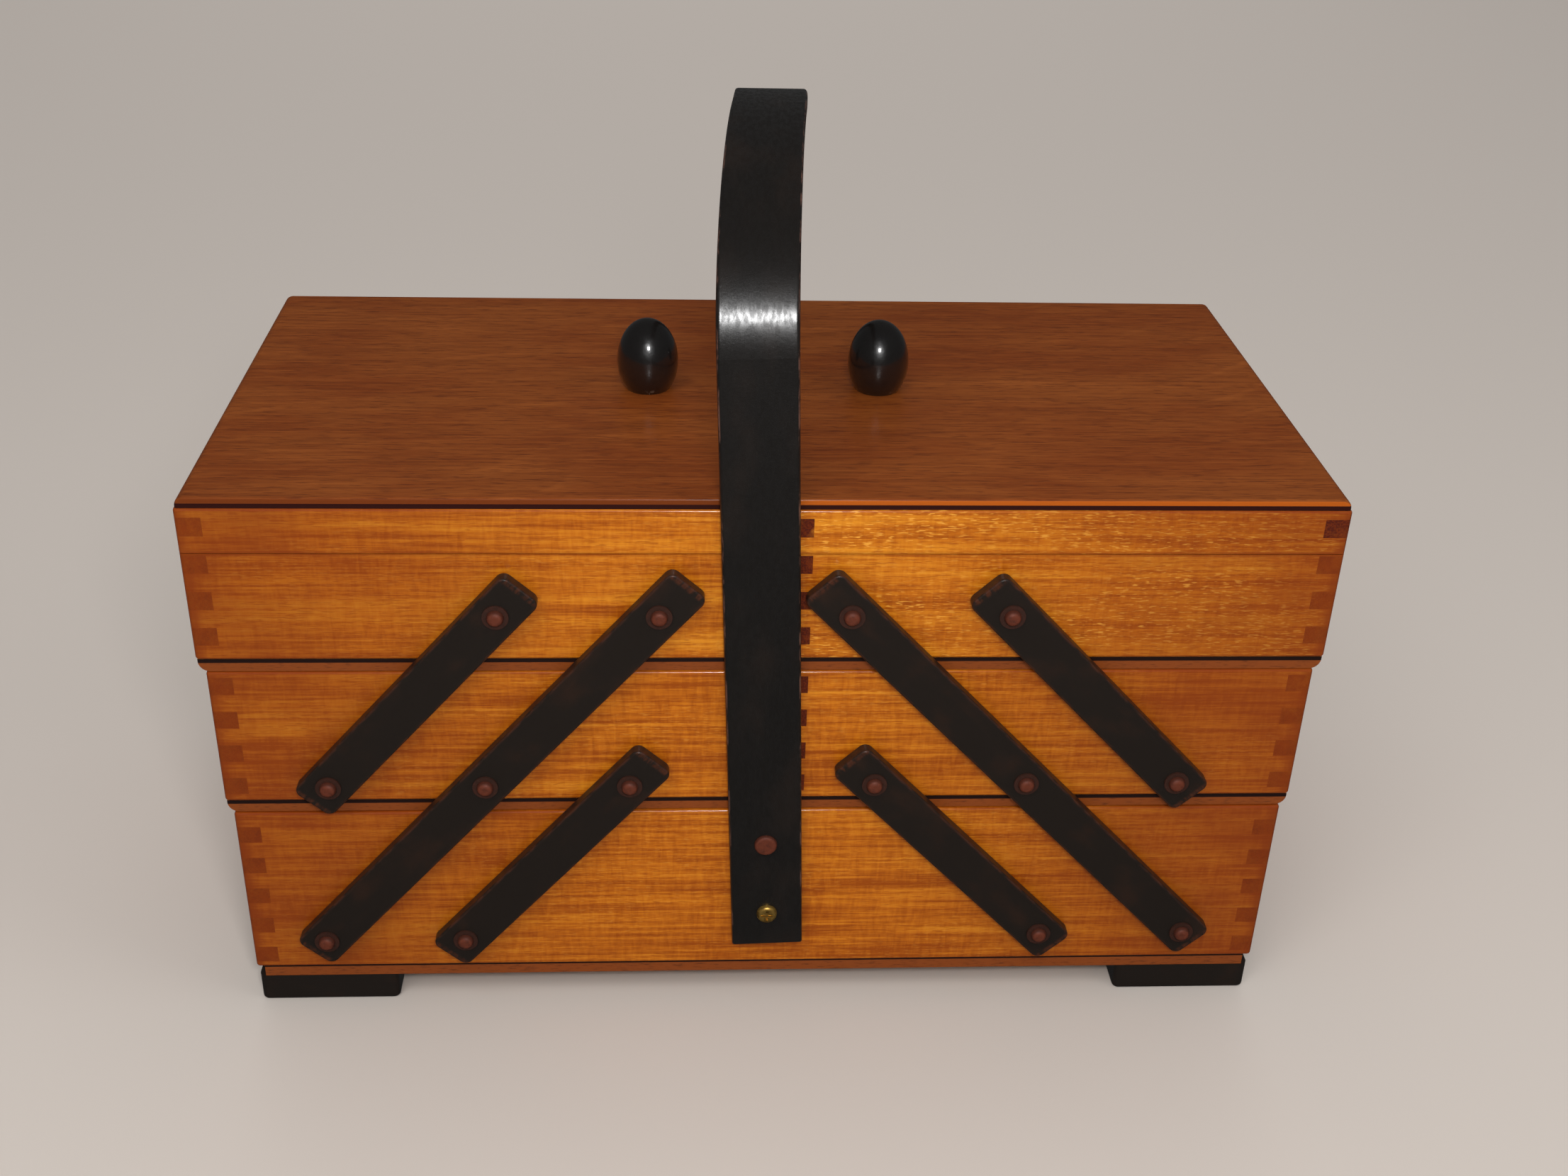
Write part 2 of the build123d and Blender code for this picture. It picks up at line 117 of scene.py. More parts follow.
@dataclass(frozen=True)
class Value:
    """A number on a shader socket. Python's operators on it add Math nodes."""

    shader: "Shader"
    socket: NodeSocket

    def math(self, operation: str, *others: Number) -> "Value":
        """Adds a Math node with this value first.

        Args:
            operation: The Math node's operation.
            others: The node's further inputs.

        Returns:
            The node's result.
        """
        inputs = dict(enumerate((self, *others)))
        node = self.shader.node("ShaderNodeMath", {"operation": operation}, inputs)
        return Value(self.shader, node.outputs[0])

    def __add__(self, other: Number) -> "Value":
        """Returns the sum."""
        return self.math("ADD", other)

    __radd__ = __add__

    def __sub__(self, other: Number) -> "Value":
        """Returns this less the other."""
        return self.math("SUBTRACT", other)

    def __rsub__(self, other: float) -> "Value":
        """Returns the other less this."""
        node = self.shader.node("ShaderNodeMath", {"operation": "SUBTRACT"}, {0: other, 1: self})
        return Value(self.shader, node.outputs[0])

    def __mul__(self, other: Number) -> "Value":
        """Returns the product."""
        return self.math("MULTIPLY", other)

    __rmul__ = __mul__

    def __truediv__(self, other: Number) -> "Value":
        """Returns this divided by the other."""
        return self.math("DIVIDE", other)

    def __abs__(self) -> "Value":
        """Returns the size without the sign."""
        return self.math("ABSOLUTE")

    def least(self, other: Number) -> "Value":
        """Returns the smaller of the two."""
        return self.math("MINIMUM", other)

    def most(self, other: Number) -> "Value":
        """Returns the larger of the two."""
        return self.math("MAXIMUM", other)

    def over(self, level: float) -> "Value":
        """Returns how far this is over a level, or 0 below it."""
        return (self - level).most(0.0)

    def rise(self, low: float, high: float) -> "Value":
        """Returns 0 up to low and 1 from high on, with a smooth rise between.

        Args:
            low: Where the rise starts.
            high: Where it ends. It may be below low, for a fall.

        Returns:
            A mask from 0 to 1.
        """
        down = low > high
        node = self.shader.node(
            "ShaderNodeMapRange",
            {"interpolation_type": "SMOOTHSTEP"},
            {"Value": self, "From Min": min(low, high), "From Max": max(low, high)},
        )
        mask = Value(self.shader, node.outputs["Result"])
        return 1 - mask if down else mask


@dataclass(frozen=True)
class Place:
    """Where a point of a piece lies, in millimetres, and its separate lengths."""

    vector: NodeSocket
    x: Value
    y: Value
    z: Value


@dataclass(frozen=True)
class Pattern:
    """Soft noise that makes one kind of mark in a finish.

    Attributes:
        turns: How often it repeats in a millimetre, along each axis or along and across the grain.
        detail: How many finer layers it has.
        rough: How strong the finer layers are, from 0 to 1.
        twist: How far it is distorted.
        step: The levels of the noise where a mark begins and where it is full.
        strength: How much of the mark shows.
    """

    turns: tuple[float, ...]
    detail: float = 3
    rough: float = 0.5
    twist: float = 0
    step: Span = (0.0, 1.0)
    strength: float = 1.0

    def along(self, axis: Axis) -> "Pattern":
        """Returns the pattern with its first size along an axis and its second one across it."""
        length, width = self.turns
        return replace(self, turns=tuple(length if part else width for part in axis.value))


class Shader:
    """A material's node tree, with one method for each kind of thing that the finishes add."""

    def __init__(self, name: str) -> None:
        """Makes an empty material.

        Args:
            name: The material's name.
        """
        self.material = bpy.data.materials.new(name)
        self.material.use_nodes = True
        self.tree = self.material.node_tree
        self.tree.nodes.clear()
        self.surface = self.tree.nodes.new("ShaderNodeBsdfPrincipled")
        output = self.tree.nodes.new("ShaderNodeOutputMaterial")
        self.tree.links.new(self.surface.outputs[0], output.inputs["Surface"])

    def node(self, kind: str, settings: dict[str, Any], inputs: dict[Any, Any]) -> Node:
        """Adds a node, sets it up and feeds it.

        Args:
            kind: The node's type.
            settings: Its properties, set before its sockets.
            inputs: Each socket's name or number, and its value, Value or socket.

        Returns:
            The new node.
        """
        made = self.tree.nodes.new(kind)
        for key, setting in settings.items():
            setattr(made, key, setting)
        for key, given in inputs.items():
            self.feed(made.inputs[key], given)
        return made

    def feed(self, socket: NodeSocket, given: Any) -> None:
        """Links or sets one input socket.

        Args:
            socket: The input.
            given: A Value or a socket to link, or a plain value to set.
        """
        if isinstance(given, Value):
            self.tree.links.new(given.socket, socket)
        elif isinstance(given, NodeSocket):
            self.tree.links.new(given, socket)
        elif isinstance(given, tuple) and len(given) == 3 and socket.type == "RGBA":
            socket.default_value = (*given, 1)
        else:
            socket.default_value = given

    def vector_math(self, operation: str, inputs: dict[Any, Any]) -> Node:
        """Adds a Vector Math node and returns it."""
        return self.node("ShaderNodeVectorMath", {"operation": operation}, inputs)

    def place(self) -> Place:
        """Returns the point's place in the piece's own frame, in millimetres."""
        where = self.node("ShaderNodeTexCoord", {}, {}).outputs["Object"]
        scaled = self.vector_math("SCALE", {0: where, "Scale": 1 / MM}).outputs[0]
        parts = self.node("ShaderNodeSeparateXYZ", {}, {0: scaled})
        return Place(scaled, *(Value(self, out) for out in parts.outputs))

    def reach(self, vector: NodeSocket, direction: Triple) -> Value:
        """Returns how far a vector reaches along a direction."""
        dot = self.vector_math("DOT_PRODUCT", {0: vector, 1: direction})
        return Value(self, dot.outputs["Value"])

    def facing(self, axis: Axis) -> Value:
        """Returns how far the surface faces along an axis of the piece, from 0 to 1."""
        normal = self.node("ShaderNodeTexCoord", {}, {}).outputs["Normal"]
        return abs(self.reach(normal, axis.value))

    def marks(self, place: Place, pattern: Pattern, shift: Triple = (0, 0, 0)) -> Value:
        """Adds a pattern of soft noise.

        Args:
            place: The place that it is read from.
            pattern: The pattern.
            shift: How far it is moved along each axis, in turns.

        Returns:
            The noise, around one half.
        """
        turned = self.vector_math("MULTIPLY_ADD", {0: place.vector, 1: pattern.turns, 2: shift})
        inputs = {"Vector": turned.outputs[0], "Scale": 1.0, "Detail": pattern.detail,
                  "Roughness": pattern.rough, "Distortion": pattern.twist}
        return Value(self, self.node("ShaderNodeTexNoise", {}, inputs).outputs[0])

    def mix(self, share: Number, first: Any, second: Any) -> NodeSocket:
        """Mixes two colours.

        Args:
            share: How much of the second is taken.
            first: A colour or a colour socket.
            second: A colour or a colour socket.

        Returns:
            The mixed colour.
        """
        share_in, first_in, second_in, colour_out = 0, 6, 7, 2
        inputs = {share_in: share, first_in: first, second_in: second}
        return self.node("ShaderNodeMix", {"data_type": "RGBA"}, inputs).outputs[colour_out]

    def ramp(self, value: Value, stops: list[tuple[float, Colour]]) -> NodeSocket:
        """Turns a number into a colour.

        Args:
            value: The number, from 0 to 1.
            stops: Places along the ramp and their colours.

        Returns:
            The colour.
        """
        node = self.node("ShaderNodeValToRGB", {}, {0: value})
        elements = node.color_ramp.elements
        while len(elements) < len(stops):
            elements.new(1.0)
        for element, (at, colour) in zip(elements, stops):
            element.position = at
            element.color = (*colour, 1)
        return node.outputs[0]

    def bump(self, height: Value, depth_mm: float, strength: float = 1.0) -> None:
        """Feeds a bump of some depth to the surface's normal.

        Args:
            height: The height, from 0 to 1.
            depth_mm: The depth that a height of 1 stands for.
            strength: How much of the bump shows.
        """
        inputs = {"Height": height, "Distance": depth_mm * MM, "Strength": strength}
        self.feed(self.surface.inputs["Normal"], self.node("ShaderNodeBump", {}, inputs).outputs[0])

    def finish(self, **inputs: Any) -> Material:
        """Feeds the surface and returns the material.

        Args:
            **inputs: Socket names with underscores for spaces, and what feeds them.

        Returns:
            The finished material.
        """
        for name, given in inputs.items():
            self.feed(self.surface.inputs[name.replace("_", " ")], given)
        return self.material


# ---- finishes


@dataclass(frozen=True)
class BoardLook:
    """How one board differs from the others.

    Attributes:
        dark_ends: How dark its end grain is, from 0 to 1.
        flecks: How strong its ray flecks are, from 0 to 1.
        lift: How much it is paler or, below 0, darker.
    """

    dark_ends: float = 0.24
    flecks: float = 0.2
    lift: float = -0.1

    @classmethod
    def of(cls, name: str) -> "BoardLook":
        """Picks the look of a board. The stain took best on the inner ends and the right lid's corners.

        Args:
            name: The board's name.

        Returns:
            Its look.
        """
        look = cls()
        if "inner" in name or "right_lid" in name:
            look = replace(look, dark_ends=1.0)
        if "upper" in name or "lid" in name:
            look = replace(look, lift=-0.04, flecks=0.8 if name.startswith(Side.RIGHT.word) else 0.2)
        return look


@dataclass(frozen=True)
class LacqueredBeech:
    """Honey-orange beech under gloss lacquer, with ray flecks and dark end grain."""

    pale: Colour = srgb(206, 130, 28)
    honey: Colour = srgb(182, 101, 15)
    amber: Colour = srgb(142, 66, 6)
    fleck: Colour = srgb(226, 158, 58)
    end_grain: Colour = srgb(74, 26, 14)
    corner_stain: Colour = srgb(118, 46, 8)

    figure: Pattern = Pattern((1 / 150, 1 / 11), detail=4, rough=0.55, twist=0.9, strength=0.9)
    streaks: Pattern = Pattern((1 / 70, 1 / 1.5), rough=0.6, twist=0.25, strength=0.85)
    fibres: Pattern = Pattern((1 / 20, 1 / 0.45), detail=2, strength=0.5)
    ripples: Pattern = Pattern((1 / 1.8, 1 / 9), detail=2, twist=0.6, strength=0.34)
    flecks: Pattern = Pattern((1 / 3.6, 1 / 0.55), detail=1, step=(0.56, 0.68))
    fleck_bands: Pattern = Pattern((1 / 60, 1 / 26), detail=1, step=(0.42, 0.62), strength=0.7)
    pores: Pattern = Pattern((1 / 5.0, 1 / 0.5), detail=1, step=(0.54, 0.68), strength=0.55)
    end_pores: Pattern = Pattern((1.6, 1.6, 1.6), detail=2, step=(0.4, 0.65), strength=0.5)
    end_patches: Pattern = Pattern((0.2, 0.2, 0.2), detail=1, strength=2.2)
    stain_patches: Pattern = Pattern((0.03, 0.03, 0.05), strength=0.75)

    middle_tone: float = 0.79
    amber_at: float = 0.22
    honey_at: float = 0.48
    pale_at: float = 0.78
    end_facing: Span = (0.55, 0.8)
    fleck_relief: float = 0.2
    relief_mm: float = 0.05
    specular: float = 0.1
    roughness: float = 0.40
    roughness_spread: float = 0.16
    coat: float = 0.7
    coat_sunk_in_ends: float = 0.4
    coat_roughness: float = 0.16

    stain_reach_mm: float = 165
    corner_reach_mm: float = 6
    edge_reach_mm: Span = (1.2, 0.2)
    least_stain: float = 0.3
    most_stain: float = 0.9

    def material(self, name: str, grain: Axis, low: Vector, high: Vector) -> Material:
        """Makes the finish of one board.

        Args:
            name: The board's name, which also picks its stretch of grain.
            grain: The direction that its grain runs in.
            low: The board's lowest corner, in metres.
            high: Its highest corner.

        Returns:
            The board's material.
        """
        shader = Shader(f"beech_{name}")
        look = BoardLook.of(name)
        place = shader.place()
        draw = random.Random(name)
        shift = tuple(draw.uniform(-GRAIN_SHIFT, GRAIN_SHIFT) for _ in range(3))

        def grained(pattern: Pattern) -> Value:
            """Adds a pattern that runs with the grain."""
            return shader.marks(place, pattern.along(grain), shift)

        figure, streak = grained(self.figure), grained(self.streaks)
        fibre, ripple = grained(self.fibres), grained(self.ripples)
        tone = (figure * self.figure.strength + streak * self.streaks.strength
                + fibre * self.fibres.strength + ripple * self.ripples.strength
                + (look.lift - self.middle_tone))
        wood = shader.ramp(tone, [(self.amber_at, self.amber), (self.honey_at, self.honey),
                                  (self.pale_at, self.pale)])
        fleck = grained(self.flecks).rise(*self.flecks.step)
        band = grained(self.fleck_bands).rise(*self.fleck_bands.step)
        shown = 1 - self.fleck_bands.strength + band * self.fleck_bands.strength
        wood = shader.mix(fleck * shown * look.flecks, wood, self.fleck)
        pore = grained(self.pores).rise(*self.pores.step)
        wood = shader.mix(pore * self.pores.strength, wood, self.amber)
        wood = shader.mix(self.stain(shader, place, low, high, draw), wood, self.corner_stain)

        end_pore = shader.marks(place, self.end_pores, shift).rise(*self.end_pores.step)
        uneven = shader.marks(place, self.end_patches, shift)
        cut = shader.mix(end_pore * self.end_pores.strength, self.end_grain, self.corner_stain)
        cut = shader.mix((look.dark_ends * self.end_patches.strength * uneven).least(1.0), wood, cut)
        ends = shader.facing(grain).rise(*self.end_facing)
        shader.bump(streak * 0.5 + fibre * 0.5 - fleck * self.fleck_relief, self.relief_mm)
        return shader.finish(
            Base_Color=shader.mix(ends, wood, cut),
            Roughness=self.roughness + self.roughness_spread * fibre,
            Specular_IOR_Level=self.specular,
            Coat_Weight=self.coat - ends * self.coat_sunk_in_ends,
            Coat_Roughness=self.coat_roughness,
        )

    def stain(self, shader: Shader, place: Place, low: Vector, high: Vector,
              draw: random.Random) -> Value:
        """Adds the darker, redder stain that gathers at a board's outer ends and edges.

        Args:
            shader: The shader to add to.
            place: The point's place.
            low: The board's lowest corner, in metres.
            high: Its highest corner.
            draw: The board's own random draws.

        Returns:
            A mask from 0 to 1.
        """
        if high.x - low.x > high.y - low.y:
            from_end = max(abs(low.x), abs(high.x)) / MM - abs(place.x)
        else:
            from_end = high.y / MM - abs(place.y)
        from_edge = (place.z - low.z / MM).least(high.z / MM - place.z)
        patch = shader.marks(place, self.stain_patches, (draw.uniform(0, STAIN_SHIFT),) * 3)
        uneven = self.least_stain + self.stain_patches.strength * patch
        wide = from_end.rise(self.stain_reach_mm, 0) * uneven
        corner = from_end.rise(self.corner_reach_mm, 0) * self.least_stain
        edge = from_edge.rise(*self.edge_reach_mm) * self.least_stain
        return (wide + corner + edge).least(self.most_stain)


@dataclass(frozen=True)
class LidVeneer:
    """Reddish-brown veneer with faint arched grain, under satin lacquer. Its edge is painted: a painted
    orange highlight on the rounded top, over a dark band of core and painted shade.
    """

    brown: Colour = srgb(114, 58, 21)
    red: Colour = srgb(104, 48, 16)
    line: Colour = srgb(140, 76, 30)
    dark: Colour = srgb(80, 36, 15)
    # painted highlight: the rounded front edge of the panel painted bright orange, as if lit
    rounded_edge: Colour = srgb(164, 80, 18)
    # dark colour of the ply core and of the painted shade in the seam over the rail
    core: Colour = srgb(44, 17, 14)

    bends: Pattern = Pattern((0.006, 0.009, 0.01), detail=1, strength=6)
    wavers: Pattern = Pattern((0.05, 0.08, 0.1), detail=2, strength=0.35)
    patches: Pattern = Pattern((0.012, 0.03, 0.03), step=(0.35, 0.65))
    fibres: Pattern = Pattern((0.05, 0.8, 0.8), detail=4, rough=0.65, strength=1.4)
    streaks: Pattern = Pattern((0.02, 0.55, 0.55), rough=0.7, strength=2.0)
    pores: Pattern = Pattern((0.14, 1.5, 1.5), detail=2, step=(0.52, 0.68), strength=0.6)

    ring_spacing_mm: float = 17
    ring_drift: float = 0.012
    line_begins: Span = (0.7, 0.92)
    line_ends: Span = (1.0, 0.94)
    line_patches_from: float = 0.4
    line_strength: float = 1.1
    pale_fibres_from: float = 0.44
    streak_middle: float = 0.5
    edge_facing: Span = (0.6, 0.25)
    core_height_mm: float = 1.7
    core_blur_mm: Span = (0.1, 0.2)
    line_relief: float = 0.3
    pore_relief: float = 0.5
    relief_mm: float = 0.03
    specular: float = 0.05
    roughness: float = 0.42
    roughness_spread: float = 0.14
    coat: float = 0.2
    coat_roughness: float = 0.22

    def material(self, name: str, low: Vector) -> Material:
        """Makes the finish of a lid's top panel.

        Args:
            name: The panel's name, which picks its stretch of veneer.
            low: The panel's lowest corner, in metres.

        Returns:
            The panel's material.
        """
        shader = Shader(f"veneer_{name}")
        place = shader.place()
        draw = random.Random(name)
        shift = tuple(draw.uniform(0, VENEER_SHIFT) for _ in range(3))

        def marks(pattern: Pattern) -> Value:
            """Adds a pattern on this panel's stretch of veneer."""
            return shader.marks(place, pattern, shift)

        bend = marks(self.bends) * self.bends.strength
        waver = marks(self.wavers) * self.wavers.strength
        rings = place.y / self.ring_spacing_mm + bend + waver - place.x * self.ring_drift
        ring = rings.math("FRACT")
        line = ring.rise(*self.line_begins) * ring.rise(*self.line_ends)
        patch, fibre, streak = marks(self.patches), marks(self.fibres), marks(self.streaks)
        wood = shader.mix(patch.rise(*self.patches.step), self.red, self.brown)
        lines = line * (patch.over(self.line_patches_from) * self.line_strength)
        pale_fibres = fibre.over(self.pale_fibres_from) * self.fibres.strength
        wood = shader.mix(lines + pale_fibres + streak.over(self.streak_middle), wood, self.line)
        pore = marks(self.pores).rise(*self.pores.step)
        dark_streaks = (self.streak_middle - streak).most(0.0) * self.streaks.strength
        wood = shader.mix(pore * self.pores.strength + dark_streaks, wood, self.dark)

        # painted shade: the bottom of the panel's edge is darkened over the rail, partly the ply's dark
        # core and partly shade in the seam
        height = place.z - low.z / MM
        below, above = self.core_blur_mm
        over_core_and_shade = height.rise(self.core_height_mm - below, self.core_height_mm + above)
        ply = shader.mix(over_core_and_shade, self.core, self.rounded_edge)
        edge = shader.facing(Axis.Z).rise(*self.edge_facing)
        shader.bump(fibre + line * self.line_relief - pore * self.pore_relief, self.relief_mm)
        return shader.finish(
            Base_Color=shader.mix(edge, wood, ply),
            Roughness=self.roughness + self.roughness_spread * fibre,
            Specular_IOR_Level=self.specular,
            Coat_Weight=self.coat,
            Coat_Roughness=self.coat_roughness,
        )


@dataclass(frozen=True)
class StainedPly:
    """A thin plywood floor: pale inside, with a red-brown edge and dark specks. The top of the edge is
    painted dark, partly the ply's glue layer and partly painted shade in the seam under the board above.
    """

    face: Colour = srgb(186, 124, 62)
    face_dark: Colour = srgb(158, 96, 44)
    edge: Colour = srgb(124, 60, 18)
    # dark colour of the glue specks and of the band of painted shade along the edge's top
    glue: Colour = srgb(30, 13, 9)

    fibres: Pattern = Pattern((0.03, 0.5, 0.5), detail=4, rough=0.6, twist=0.4, step=(0.35, 0.65))
    specks: Pattern = Pattern((0.3, 2.0, 2.0), detail=2, step=(0.5, 0.8), strength=0.5)

    glue_height_mm: float = 1.5
    glue_blur_mm: float = 0.25
    edge_facing: Span = (0.7, 0.3)
    relief_mm: float = 0.05
    specular: float = 0.2
    roughness: float = 0.5
    roughness_spread: float = 0.15
    edge_coat: float = 0.2
    coat_roughness: float = 0.2

    def material(self, name: str, high: Vector) -> Material:
        """Makes the finish of one floor.

        Args:
            name: The floor's name, which picks its stretch of veneer.
            high: The floor's highest corner, in metres.

        Returns:
            The floor's material.
        """
        shader = Shader(f"ply_{name}")
        place = shader.place()
        draw = random.Random(name)
        shift = tuple(draw.uniform(0, VENEER_SHIFT) for _ in range(3))
        fibre = shader.marks(place, self.fibres, shift)
        speck = shader.marks(place, self.specks, shift)
        face = shader.mix(fibre.rise(*self.fibres.step), self.face_dark, self.face)
        depth = high.z / MM - place.z
        # painted shade: the top of the floor's edge is darkened where the board above sits on it, partly
        # the ply's dark glue layer
        under_seam_shade = depth.rise(self.glue_height_mm, self.glue_height_mm + self.glue_blur_mm)
        layers = shader.mix(under_seam_shade, self.glue, self.edge)
        layers = shader.mix(speck.rise(*self.specks.step) * self.specks.strength, layers, self.glue)
        side = shader.facing(Axis.Z).rise(*self.edge_facing)
        shader.bump(fibre, self.relief_mm)
        return shader.finish(
            Base_Color=shader.mix(side, face, layers),
            Roughness=self.roughness + self.roughness_spread * speck,
            Specular_IOR_Level=self.specular,
            Coat_Weight=side * self.edge_coat,
            Coat_Roughness=self.coat_roughness,
        )


@dataclass(frozen=True)
class BlackLacquer:
    """Black-stained wood, worn to brown along its edges."""

    black: Colour = srgb(30, 24, 20)
    warm: Colour = srgb(46, 28, 19)
    worn: Colour = srgb(66, 34, 20)

    fibres: Pattern = Pattern((0.05, 1.2, 1.2), detail=4, rough=0.65, step=(0.6, 0.8), strength=0.2)
    smudges: Pattern = Pattern((0.05, 0.07, 0.07), step=(0.5, 0.75), strength=0.6)
    chips: Pattern = Pattern((0.16, 0.5, 0.5), detail=4, rough=0.7)

    relief_mm: float = 0.06
    specular: float = 0.2
    roughness: float = 0.34
    roughness_spread: float = 0.22
    coat: float = 0.25
    coat_roughness: float = 0.3

    def material(self, name: str, grain: Vector, wear: Optional["EdgeWear"] = None) -> Material:
        """Makes the finish of one black piece.

        Args:
            name: The piece's name, which picks its stretch of grain.
            grain: The direction along the piece.
            wear: Where the piece is worn, or None for a piece without worn edges.

        Returns:
            The piece's material.
        """
        shader = Shader(f"black_{name}")
        place = shader.place()
        draw = random.Random(name)
        run = shader.reach(place.vector, tuple(grain))
        cross = shader.reach(place.vector, tuple(across(grain)))
        flat = shader.node("ShaderNodeCombineXYZ", {}, {0: run, 1: cross, 2: place.y}).outputs[0]
        local = Place(flat, run, cross, place.y)
        shift = (draw.uniform(0, GRAIN_SHIFT), draw.uniform(0, GRAIN_SHIFT), 0)
        fibre = shader.marks(local, self.fibres, shift)
        smudge = shader.marks(local, self.smudges, shift)
        warmth = (smudge.rise(*self.smudges.step) * self.smudges.strength
                  + fibre.rise(*self.fibres.step) * self.fibres.strength)
        colour = shader.mix(warmth, self.black, self.warm)
        if wear:
            rubbed = wear.mask(run, cross, place, shader.marks(local, self.chips, shift))
            colour = shader.mix(rubbed, colour, self.worn)
        shader.bump(fibre, self.relief_mm)
        return shader.finish(
            Base_Color=colour,
            Roughness=self.roughness + self.roughness_spread * smudge,
            Specular_IOR_Level=self.specular,
            Coat_Weight=self.coat,
            Coat_Roughness=self.coat_roughness,
        )


def across(grain: Vector) -> Vector:
    """Returns the direction across a bar that lies flat against the box's face."""
    return Vector(Axis.Y.value).cross(grain).normalized()


@dataclass(frozen=True)
class EdgeWear:
    """Where the stain has rubbed off a straight bar: its long edges and its ends."""

    centre: Vector
    grain: Vector
    half_length_mm: float
    half_width_mm: float
    outer_y_mm: float
    reach_mm: float = 1.3
    spared_at_ends: float = 0.4
    flank_reach_mm: Span = (0.3, 1.4)
    flank_wear: float = 0.45
    rim_chips: Span = (0.38, 0.62)
    flank_chips: Span = (0.35, 0.7)

    def mask(self, run: Value, cross: Value, place: Place, chip: Value) -> Value:
        """Adds the mask of the worn edges.

        Args:
            run: The place along the bar.
            cross: The place across it.
            place: The place in the piece's frame.
            chip: Noise that breaks the wear up.

        Returns:
            A mask from 0 to 1.
        """
        middle_run = self.centre.dot(self.grain)
        middle_cross = self.centre.dot(across(self.grain))
        from_side = self.half_width_mm - abs(cross - middle_cross)
        from_end = self.half_length_mm - abs(run - middle_run)
        from_face = self.outer_y_mm - abs(place.y)
        from_rim = from_side.least(from_end + self.reach_mm * self.spared_at_ends)
        near_rim = from_rim.rise(self.reach_mm, 0)
        rim = near_rim * from_face.rise(self.reach_mm, 0)
        flank = from_face.rise(*self.flank_reach_mm) * near_rim * self.flank_wear
        return (rim * chip.rise(*self.rim_chips) + flank * chip.rise(*self.flank_chips)).least(1.0)


@dataclass(frozen=True)
class StrapLacquer:
    """Black lacquer on the bent strap, brown on its flanks and rubbed along its corners."""

    black: Colour = srgb(20, 17, 15)
    warm: Colour = srgb(32, 23, 18)
    flank: Colour = srgb(52, 28, 16)
    rubbed: Colour = srgb(104, 70, 58)

    fibres: Pattern = Pattern((1.1, 0.04, 0.04), detail=4, rough=0.65, strength=0.4)
    grit: Pattern = Pattern((0.8, 0.8, 0.8), detail=4, rough=0.8, strength=0.8)
    smudges: Pattern = Pattern((0.06, 0.03, 0.03), step=(0.45, 0.75), strength=0.6)
    chips: Pattern = Pattern((0.3, 0.07, 0.07), detail=4, rough=0.7, step=(0.48, 0.62), strength=0.7)
    dull_spots: Pattern = Pattern((0.7, 0.3, 0.3), rough=0.7, step=(0.4, 0.6), strength=0.6)

    flank_facing: Span = (0.8, 0.95)
    corner_facing: Span = (0.35, 0.6)
    relief_mm: float = 0.13
    specular: float = 0.4
    roughness: float = 0.34
    smudge_roughness: float = 0.12
    flank_roughness: float = 0.2
    coat_off_flanks: float = 0.8
    coat_roughness: float = 0.25

    def material(self, name: str) -> Material:
        """Makes the finish of the strap.

        Args:
            name: The strap's name.

        Returns:
            The strap's material.
        """
        shader = Shader(f"strap_{name}")
        place = shader.place()
        fibre, grit = shader.marks(place, self.fibres), shader.marks(place, self.grit)
        smudge = shader.marks(place, self.smudges)
        chip = shader.marks(place, self.chips).rise(*self.chips.step)
        dull = shader.marks(place, self.dull_spots).rise(*self.dull_spots.step)
        aside = shader.facing(Axis.X)
        flank = aside.rise(*self.flank_facing)
        corner = aside.rise(*self.corner_facing) * (1 - flank)
        warmth = smudge.rise(*self.smudges.step) * self.smudges.strength
        colour = shader.mix(warmth, self.black, self.warm)
        colour = shader.mix(flank, colour, self.flank)
        colour = shader.mix(corner * chip * self.chips.strength, colour, self.rubbed)
        shader.bump(grit * self.grit.strength + fibre * self.fibres.strength, self.relief_mm)
        clear = 1.0 - dull * self.dull_spots.strength
        return shader.finish(
            Base_Color=colour,
            Roughness=self.roughness + self.smudge_roughness * smudge + self.flank_roughness * flank,
            Specular_IOR_Level=self.specular,
            Coat_Weight=clear * (1.0 - flank * self.coat_off_flanks),
            Coat_Roughness=self.coat_roughness,
        )


@dataclass(frozen=True)
class KnobLacquer:
    """Glossy black lacquer on a turned knob, chipped at its seat."""

    black: Colour = srgb(17, 15, 14)
    chip: Colour = srgb(120, 104, 90)

    chips: Pattern = Pattern((0.45, 0.45, 0.6), detail=4, rough=0.7, step=(0.58, 0.64), strength=0.7)
    orange_peel: Pattern = Pattern((0.5, 0.5, 0.5), detail=2, strength=0.7)

    chip_height_mm: Span = (3.0, 0.2)
    relief_mm: float = 0.09
    roughness: float = 0.24
    roughness_spread: float = 0.12
    coat_roughness: float = 0.07

    def material(self, name: str, seat_mm: float) -> Material:
        """Makes the finish of one knob.

        Args:
            name: The knob's name, which picks where it is chipped.
            seat_mm: The height of its seat on the lid.

        Returns:
            The knob's material.
        """
        shader = Shader(f"knob_{name}")
        place = shader.place()
        shift = (random.Random(name).uniform(0, GRAIN_SHIFT),) * 3
        spots = shader.marks(place, self.chips, shift).rise(*self.chips.step)
        low = (place.z - seat_mm).rise(*self.chip_height_mm)
        orange_peel = shader.marks(place, self.orange_peel, shift)
        shader.bump(orange_peel, self.relief_mm, self.orange_peel.strength)
        return shader.finish(
            Base_Color=shader.mix(spots * low * self.chips.strength, self.black, self.chip),
            Roughness=self.roughness + self.roughness_spread * orange_peel,
            Coat_Weight=1.0,
            Coat_Roughness=self.coat_roughness,
        )


